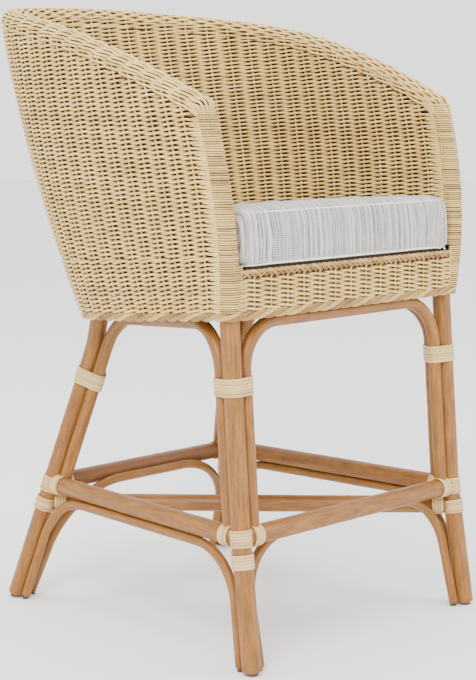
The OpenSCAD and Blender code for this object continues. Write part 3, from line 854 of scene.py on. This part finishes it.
def make_skin(name, replaced, side, stakes, low_h, bands):
    """One woven skin: side is 1 for the outside of the wall and -1 for the inside."""
    n = stakes * PER_STAKE + 1
    s = np.linspace(0, ARC[-1], n)
    u_all = np.interp(s, ARC, U_FINE)
    q_all = s / ARC[-1] * stakes
    rows, fan = row_table(low_h, 0 if side > 0 else PITCH / 2)
    meshes = [Mesh() for _ in range(bands)]
    for i, (kind, value) in enumerate(rows):
        z, ok = row_heights(kind, value, u_all, fan)
        ok &= z > wall_foot(u_all) + low_h
        if ok.sum() < 2 * PER_STAKE:
            continue
        u, q, z = u_all[ok], q_all[ok], z[ok]
        v = v_of(u, z)
        out = wall_out(u, v) * side
        centre = wall(u, v) + out * WEAVE_R
        up = np.broadcast_to([0, 0, 1.0], out.shape)
        full = u[0] < -0.999
        edge = np.minimum(q, stakes - q)
        wrap = 1 - smooth(edge / 1.1) if full else np.zeros(len(q))
        inner = np.minimum(q - q[0], q[-1] - q)
        tuck = np.zeros(len(q)) if full else 1 - smooth(inner / 0.7)
        target = meshes[min(bands - 1, i * bands // len(rows))]
        twine(target, centre, out, up, q, wrap=wrap, tuck=tuck, side=side, flip=i % 2)
    for k, m in enumerate(meshes):
        if m.verts:
            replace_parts(m.build("%s_%d" % (name, k + 1), REED, "frame", "woven_reed"), replaced)


def stake_u(count):
    s = np.arange(count) / count * ARC[-1]
    return np.interp(s, ARC, U_FINE)[1:]


def make_stakes():
    """Upright reeds inside each skin. The outer ones bend over the rim and end inside it."""
    for name, count, side, low_h, replaced in (
        ("outer", OUTER_STAKES, 1, 12 * MM, "outer_stakes"),
        ("inner", INNER_STAKES, -1, 78 * MM, "inner_stakes"),
    ):
        m = Mesh()
        for u in stake_u(count):
            v0 = low_h / (wall_top(np.array([u]))[0] - wall_foot(np.array([u]))[0])
            v = np.linspace(v0, 1, 26)
            uu = np.full(26, u)
            out = wall_out(uu, v) * side
            path = wall(uu, v) + out * WEAVE_R
            turn = np.linspace(0, np.pi / 2 * (1.0 if side > 0 else 0.98), 9)[1:, None]
            over = np.cos(turn) * out[-1] + np.sin(turn) * UP
            path = np.concatenate([path, wall(uu[-1:], v[-1:]) + WEAVE_R * over])
            face = np.concatenate([out, over])
            # Painted shade: back=0.9 darkens each stake's sides and the face turned into the wall, leaving
            # its outer face pale.
            m.tube(path, face, 2.3 * MM, 2.3 * MM, 8, tone=rng.uniform(0.55, 0.75), back=0.9)
        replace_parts(m.build("reed_%s_stakes" % name, STAKE, "frame", "reed_stake"), replaced)


def edge_frame(sx, k):
    """The arm front's corner: k runs from 0 on the rim to 1 on the post."""
    one = np.array([float(sx)])
    c = wall(one, np.ones(1))[0]
    fwd = wall_dir(one, np.ones(1))[0] * sx
    out = wall_out(one, np.ones(1))[0]
    a = np.pi / 2 * k
    return c, math.cos(a) * UP + math.sin(a) * fwd, out


def tilted(up, out, a):
    """The direction a radians round the rim from up towards out, and the one square to it."""
    return math.cos(a) * up + math.sin(a) * out, -math.sin(a) * up + math.cos(a) * out


def rim_end(sx, a, down):
    """A rim row's end over one arm front: its points, and the two tilted directions at each."""
    height = wall_top(np.array([1.0]))[0] - wall_foot(np.array([1.0]))[0]
    places = []
    for d in np.linspace(down, 0, 8)[:-1]:
        c = wall(np.array([float(sx)]), np.array([1 - d / height]))[0]
        places.append((c, *tilted(*edge_frame(sx, 1)[1:], a)))
    for k in np.linspace(1, 0, 12)[:-1]:
        c, up, out = edge_frame(sx, k)
        places.append((c, *tilted(up, out, a)))
    if sx > 0:
        places.reverse()
    return [np.array(p) for p in zip(*places)]


def make_rim():
    """Twined rows that run along the rolled rim and turn down over the arm fronts."""
    m = Mesh()
    n = OUTER_STAKES * 10 + 1
    s = np.linspace(0, ARC[-1], n)
    u = np.interp(s, ARC, U_FINE)
    base = wall(u, np.ones(n))
    out0 = wall_out(u, np.ones(n))
    up0 = np.broadcast_to([0, 0, 1.0], out0.shape)
    down = 26 * MM
    for i, angle in enumerate((80, 57, 34, 11, -12, -35, -58, -81)):
        a = math.radians(angle)
        middle = [base, *tilted(up0, out0, a)]
        c, o, w = (np.concatenate(p) for p in zip(rim_end(-1, a, down), middle, rim_end(1, a, down)))
        centre = c + o * (WEAVE_R + 0.7 * MM)
        step = np.linalg.norm(np.diff(centre, axis=0), axis=1)
        length = np.concatenate([[0], np.cumsum(step)])
        q = length / (ARC[-1] / OUTER_STAKES * 1.08)
        edge = np.minimum(length, length[-1] - length)
        tuck = 0.9 * (1 - smooth(edge / (14 * MM)))
        twine(
            m, centre, o, -w, q,
            strand=1.85 * MM, twist=2.9 * MM, lift=1.5 * MM, tuck=tuck, flip=i % 2, sides=7,
        )
    for side, stakes in ((1, OUTER_STAKES), (-1, INNER_STAKES)):
        for row in (0.5, 1.5):
            v = 1 - row * PITCH / (wall_top(u) - wall_foot(u))
            o = wall_out(u, v) * side
            centre = wall(u, v) + o * WEAVE_R
            wrap = 1 - smooth(np.minimum(s, ARC[-1] - s) / (30 * MM))
            twine(m, centre, o, up0, s / ARC[-1] * stakes, wrap=wrap, side=side)
    obj = m.build("reed_rim_rows", REED, "frame", "woven_reed")
    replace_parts(obj, "rim_weave")


def make_posts():
    """Reed wound round each arm front, from the outside of the wall round to the inside or the apron."""
    for sx, name in ((-1, "right"), (1, "left")):
        m = Mesh()
        one = np.array([float(sx)])
        foot, top = wall_foot(one)[0], wall_top(one)[0]
        z = foot + ROW_START - PITCH / 4
        step = PITCH / 2
        while z < top + 3 * MM:
            v = np.array([(z - foot) / (top - foot)])
            c = wall(one, np.minimum(v, 1))[0]
            c[2] = z
            fwd = wall_dir(one, np.ones(1))[0] * sx
            out = wall_out(one, np.ones(1))[0]
            to_apron = z < foot + DECK_TOP + 4 * MM
            end, count = (8, 14) if to_apron else (-95, 22)
            angle = np.radians(np.linspace(100, end, count))[:, None]
            r = WRAP_R + rng.uniform(-0.5, 0.4) * MM
            path = c + r * (np.cos(angle) * fwd + np.sin(angle) * out)
            if to_apron:
                run = np.linspace(0, 1, 7)[1:, None]
                end_at = np.array([sx * (APRON_HALF - 8 * MM), APRON_Y - (WRAP_R - WEAVE_R), z])
                gap = end_at - path[-1]
                bend_in = smooth(run) * gap * np.array([0, 1, 0])
                path = np.concatenate([path, path[-1] + run * gap * np.array([1, 0, 0]) + bend_in])
            else:
                path[:, 2] += rng.uniform(-0.35, 0.35) * MM
            path[0] -= out * 2 * MM
            ref = path - c
            ref[:, 2] = 0
            rr = STRAND * rng.uniform(0.76, 0.88)
            tone = rng.uniform(0.44, 0.70)
            # Painted shade: back=1.0 darkens the side of each turn that faces the post.
            m.tube(path, unit(ref), rr, rr, 6, tone=tone, start=rng.uniform(0, 5), back=1.0)
            z += step
        obj = m.build("reed_arm_wraps_" + name, REED, "frame", "woven_reed")
        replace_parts(obj, "rim_weave")


APRON_HALF = 246 * MM
APRON_Y = FRONT_Y - WEAVE_R - 0.4 * MM


def make_apron():
    """The front panel under the cushion, two skins thick, with a border of darker loops along its top."""
    n_st = 14
    n = n_st * 10 + 1
    x = np.linspace(-APRON_HALF, APRON_HALF, n)
    q = np.linspace(0, n_st, n)
    out = np.broadcast_to([0, -1.0, 0], (n, 3))
    up = np.broadcast_to([0, 0, 1.0], (n, 3))
    top = SKIRT_Z + DECK_TOP - 2 * MM
    border = 12 * MM
    m = Mesh()
    for depth, lift, side in ((0, 0, 1), (8 * MM, PITCH / 2, -1)):
        z = SKIRT_Z + ROW_START + lift
        i = 0
        while z < top - border:
            centre = np.stack([x, np.full(n, APRON_Y + depth), np.full(n, z)], -1)
            wrap = (1 - smooth(np.minimum(q, n_st - q) / 0.6)) * (side > 0)
            twine(m, centre, out, up, q, wrap=wrap, flip=i % 2, side=side)
            z += PITCH
            i += 1
    for k in range(n_st + 1):
        px = -APRON_HALF + 2 * APRON_HALF * k / n_st
        heights = np.linspace(SKIRT_Z + 12 * MM, top - 3 * MM, 12)
        path = np.stack([np.full(12, px), np.full(12, APRON_Y), heights], -1)
        # Painted shade: back=0.9 darkens each stake's sides and back.
        m.tube(path, (0, -1, 0), 2.2 * MM, 2.2 * MM, 8, tone=rng.uniform(0.5, 0.7), back=0.9)
    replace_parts(m.build("reed_apron_rows", REED, "frame", "woven_reed"), "apron_weave")
    m = Mesh()
    loops = 3 * n_st
    for k in range(-1, loops + 1):
        t = np.linspace(0, 1, 30)
        px = np.clip(-APRON_HALF + 2 * APRON_HALF * (k + 3.2 * t) / loops, -APRON_HALF, APRON_HALF)
        arc = np.sin(np.pi * t)
        face_y = APRON_Y - (3.6 * arc - 1.0 + 0.8 * t) * MM
        path = np.stack([px, face_y, top - (1 - arc) * (border - 2 * MM) - 1.5 * MM], -1)
        keep = np.abs(np.gradient(px)) > 1e-6
        if keep.sum() > 6:
            # Painted shade: each loop darkens towards its low ends, under the loops beside it, and back=0.6
            # darkens its back.
            shade = 0.22 * (1 - arc[keep])
            tone = rng.uniform(0.46, 0.72)
            m.tube(path[keep], (0, -1, 0), 2.1 * MM, 2.7 * MM, 7, tone=tone, back=0.6, shade=shade)
    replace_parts(m.build("reed_apron_border", REED_DARK, "frame", "woven_reed"), "apron_weave")


BRAID_OUT = 14 * MM
BRAID_UP = 8 * MM
BRAID_LAY = 72 * MM


def make_braid():
    """Three plain reeds twisted together round the skirt's edge."""
    u = np.interp(np.linspace(0, ARC[-1], 200), ARC, U_FINE)
    zero = np.zeros(200)
    side = wall(u, zero) + wall_out(u, zero) * BRAID_OUT + np.array([0, 0, BRAID_UP])
    c = wall(np.array([1.0]), np.zeros(1))[0]
    k = np.linspace(0, np.pi / 2, 8)[1:, None]
    z_front = plane_z(FRONT_Y) + BRAID_UP
    corner_x = c[0] + BRAID_OUT * np.cos(k)
    corner_y = c[1] - BRAID_OUT * np.sin(k)
    corner = np.concatenate([corner_x, corner_y, np.full_like(k, z_front)], 1)
    xs = np.linspace(c[0], -c[0], 70)[1:-1, None]
    front = np.concatenate([xs, np.full_like(xs, FRONT_Y - BRAID_OUT), np.full_like(xs, z_front)], 1)
    other = corner[::-1] * np.array([-1, 1, 1])
    path = np.concatenate([side, corner, front, other])
    step = np.linalg.norm(np.roll(path, -1, 0) - path, axis=1)
    s = np.concatenate([[0], np.cumsum(step)])
    n = 760
    want = np.linspace(0, s[-1], n, endpoint=False)
    loop = np.concatenate([path, path[:1]])
    path = np.stack([np.interp(want, s, loop[:, k]) for k in range(3)], -1)
    t = tangents(path, True)
    out = unit(np.cross(t, UP))
    up = np.cross(out, t)
    laps = round(s[-1] / BRAID_LAY)
    m = Mesh()
    for k in range(3):
        a = 2 * np.pi * (want / s[-1] * laps + k / 3)
        p = path + out * (2.5 * MM * np.cos(a))[:, None] + up * (4.0 * MM * np.sin(a))[:, None]
        # Painted shade: back=0.3 darkens the side of each strand away from the out direction.
        m.tube(p, out, 3.0 * MM, 3.4 * MM, 8, closed=True, tone=(0.48, 0.58, 0.68)[k], back=0.3)
    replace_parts(m.build("reed_skirt_braid", REED, "frame", "woven_reed"), "skirt_braid")


# ---------------------------------------------------------------- cushion


CUSHION_W, CUSHION_FRONT, CUSHION_BACK = 233 * MM, -293 * MM, 141 * MM
CUSHION_H = 83 * MM


def seat_to_world():
    """The seat's tilted frame: its origin is on the deck's top under the cushion."""
    tilt = Matrix.Rotation(-math.atan(SEAT_FALL), 4, "X")
    front = FRONT_Y - WALL_R - 0.6 * MM
    pivot = Vector((0, front, plane_z(front)))
    back = Matrix.Translation((0, -front, DECK_TOP + 0.6 * MM))
    return Matrix.Translation(pivot) @ tilt @ back


def cushion_outline(grow, count=120):
    """The cushion's outline, seen from above: round at the back, square at the front."""
    mid, r = -95 * MM, 13 * MM
    w, depth, front = CUSHION_W + grow, CUSHION_BACK - mid + grow, CUSHION_FRONT - grow
    turn = np.linspace(0, np.pi, 60)
    rr = round_r(w, depth, turn)
    back = np.stack([rr * np.cos(turn), mid + rr * np.sin(turn)], -1)
    k = np.linspace(0, np.pi / 2, 9)[:, None]
    left = np.concatenate([-w + r * (1 - np.cos(k)), front + r * (1 - np.sin(k))], 1)
    right = left[::-1] * np.array([-1, 1])
    pts = np.concatenate([back, left, right])
    loop = np.concatenate([pts, pts[:1]])
    s = np.concatenate([[0], np.cumsum(np.linalg.norm(np.diff(loop, axis=0), axis=1))])
    want = np.linspace(0, s[-1], count, endpoint=False)
    return np.stack([np.interp(want, s, loop[:, i]) for i in range(2)], -1)


def cushion_form():
    """The stuffed form before it is blown up: full sides, a tight lower edge and a soft upper one."""
    profile = [
        (0, -4), (0.8, 0), (3, 2.4), (8, 3.8), (18, 4.8), (36, 5.4),
        (54, 5.2), (65, 4.6), (73, 3.2), (79, 1), (82, -3.5), (83, -11),
    ]
    rings = []
    for z, grow in profile:
        o = cushion_outline(grow * MM)
        rings.append(np.concatenate([o, np.full((len(o), 1), z * MM)], 1))
    count = len(rings[0])
    faces = [
        (i * count + j, i * count + (j + 1) % count, (i + 1) * count + (j + 1) % count, (i + 1) * count + j)
        for i in range(len(rings) - 1)
        for j in range(count)
    ]
    faces.append(tuple(range(count))[::-1])
    faces.append(tuple((len(rings) - 1) * count + j for j in range(count)))
    me = bpy.data.meshes.new("cushion_form")
    me.from_pydata([tuple(p) for r in rings for p in r], [], faces)
    return me


def coordinates(mesh):
    co = np.empty(len(mesh.vertices) * 3, np.float32)
    mesh.vertices.foreach_get("co", co)
    return co.reshape(-1, 3).astype(float)


def blown_up(obj, rest, cap):
    """The form's points after 20 frames as cloth under pressure, moved by no more than cap."""
    cloth = obj.modifiers.new("cloth", "CLOTH")
    cloth.settings.use_pressure = True
    cloth.settings.uniform_pressure_force = 4
    cloth.settings.effector_weights.gravity = 0
    scene = bpy.context.scene
    for f in range(1, 21):
        scene.frame_set(f)
    new = coordinates(obj.evaluated_get(bpy.context.evaluated_depsgraph_get()).data)
    obj.modifiers.remove(cloth)
    scene.frame_set(1)
    move = new - rest
    far = np.linalg.norm(move, axis=1, keepdims=True)
    return rest + move * np.minimum(1, cap / np.maximum(far, 1e-9))


def make_cushion():
    """A box cushion: a stuffed form blown up as cloth, flat where it rests on the deck."""
    obj = bpy.data.objects.new("cushion_cover_soft", cushion_form())
    bpy.context.scene.collection.objects.link(obj)
    bpy.context.view_layer.objects.active = obj
    remesh = obj.modifiers.new("remesh", "REMESH")
    remesh.mode = "VOXEL"
    remesh.voxel_size = 5 * MM
    bpy.ops.object.modifier_apply(modifier="remesh")
    rest = coordinates(obj.data)
    shaped = blown_up(obj, rest, 3 * MM)
    cx = np.clip(rest[:, 0] / CUSHION_W, -1, 1)
    cy = np.clip((rest[:, 1] * 2 - CUSHION_FRONT - CUSHION_BACK) / (CUSHION_BACK - CUSHION_FRONT), -1, 1)
    crown = (1 - np.abs(cx) ** 3) * (1 - np.abs(cy) ** 3)
    upper = smooth((rest[:, 2] - 25 * MM) / (45 * MM))
    shaped[:, 2] += crown * upper * 6 * MM
    shaped[:, 2] = np.clip(shaped[:, 2], 0.2 * MM, CUSHION_H + 8 * MM)
    shaped[:, 0] = np.clip(shaped[:, 0], -CUSHION_W - 6 * MM, CUSHION_W + 6 * MM)
    shaped[:, 1] = np.clip(shaped[:, 1], CUSHION_FRONT - 7 * MM, CUSHION_BACK + 5 * MM)
    obj.data.vertices.foreach_set("co", shaped.astype(np.float32).ravel())
    sub = obj.modifiers.new("sub", "SUBSURF")
    sub.levels = sub.render_levels = 1
    bpy.ops.object.modifier_apply(modifier="sub")
    obj.data.transform(seat_to_world())
    obj.data.polygons.foreach_set("use_smooth", np.ones(len(obj.data.polygons), bool))
    obj.data.update()
    obj.data.materials.append(FABRIC)
    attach(obj, "cushion")
    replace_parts(obj, "cushion_cover")
    return obj


def make_cushion_seam(cushion):
    """The seam round the lower edge: a fine raised line laid on the cover."""
    tree = BVHTree.FromObject(cushion, bpy.context.evaluated_depsgraph_get())
    place = seat_to_world()
    line, outward = [], []
    for x, y in cushion_outline(2 * MM, 400):
        at, normal = tree.find_nearest(place @ Vector((x, y, 7 * MM)))[:2]
        line.append(at + normal * 0.2 * MM)
        outward.append(normal)
    m = Mesh()
    m.tube(np.array(line), np.array(outward), 0.9 * MM, 1.1 * MM, 6, closed=True)
    return m.build("cushion_seam", FABRIC, "cushion", "cushion_fabric")


# ---------------------------------------------------------------- stage


def make_stage():
    me = bpy.data.meshes.new("floor")
    s = 12.0
    me.from_pydata([(-s, -s, 0), (s, -s, 0), (s, s, 0), (-s, s, 0)], [], [(0, 1, 2, 3)])
    floor = bpy.data.objects.new("floor", me)
    bpy.context.scene.collection.objects.link(floor)
    n = Nodes("floor_pale", 0.9, 0.1)
    n.colour((0.92, 0.92, 0.92, 1))
    me.materials.append(n.mat)
    world = bpy.data.worlds.new("studio")
    bpy.context.scene.world = world
    world.use_nodes = True
    world.node_tree.nodes["Background"].inputs[0].default_value = (1, 1, 1, 1)
    world.node_tree.nodes["Background"].inputs[1].default_value = 2.0


def area_light(name, at, look, size, power):
    data = bpy.data.lights.new(name, "AREA")
    data.shape = "SQUARE"
    data.size = size
    data.energy = power
    obj = bpy.data.objects.new(name, data)
    obj.location = at
    obj.rotation_euler = (Vector(look) - Vector(at)).to_track_quat("-Z", "Y").to_euler()
    bpy.context.scene.collection.objects.link(obj)


def make_lights():
    area_light("key", (-2.6, -1.6, 2.8), (0, 0, 0.5), 1.6, 130)
    area_light("fill", (1.8, -3.0, 1.8), (0, 0, 0.5), 2.4, 40)
    area_light("top", (0.2, 0.6, 3.2), (0, 0, 0.6), 2.4, 50)


def make_camera():
    data = bpy.data.cameras.new("camera")
    data.lens = 91.44
    data.sensor_width = 36
    cam = bpy.data.objects.new("camera", data)
    cam.location = (-1.980, -1.996, 0.828)
    cam.rotation_euler = (math.radians(82.026), 0, math.radians(-45.303))
    data.clip_end = 100
    bpy.context.scene.collection.objects.link(cam)
    bpy.context.scene.camera = cam


make_legs()
make_stretchers()
make_braces()
make_upper_arches()
make_lower_arches()
make_upper_bindings()
make_ring_bindings()
make_brace_bindings()
make_skin("reed_outer_rows", "outer_weave", 1, OUTER_STAKES, 16 * MM, 4)
make_skin("reed_inner_rows", "inner_weave", -1, INNER_STAKES, DECK_TOP, 3)
make_stakes()
make_rim()
make_posts()
make_apron()
make_braid()
make_cushion_seam(make_cushion())

for end in ENDS:
    dress("glide_" + end, GLIDE)
dress("arch_glides", GLIDE)
for node in ("seat_hoop", "arm_post_right", "arm_post_left", "back_uprights", "top_rail"):
    dress(node, STAKE)
dress("seat_slats", SLAT)
dress("seat_deck", STAKE)
dress("frame_screws", STEEL)
dress("cushion_core", FOAM)
dress("cushion_zip", ZIP)

make_stage()
make_lights()
make_camera()
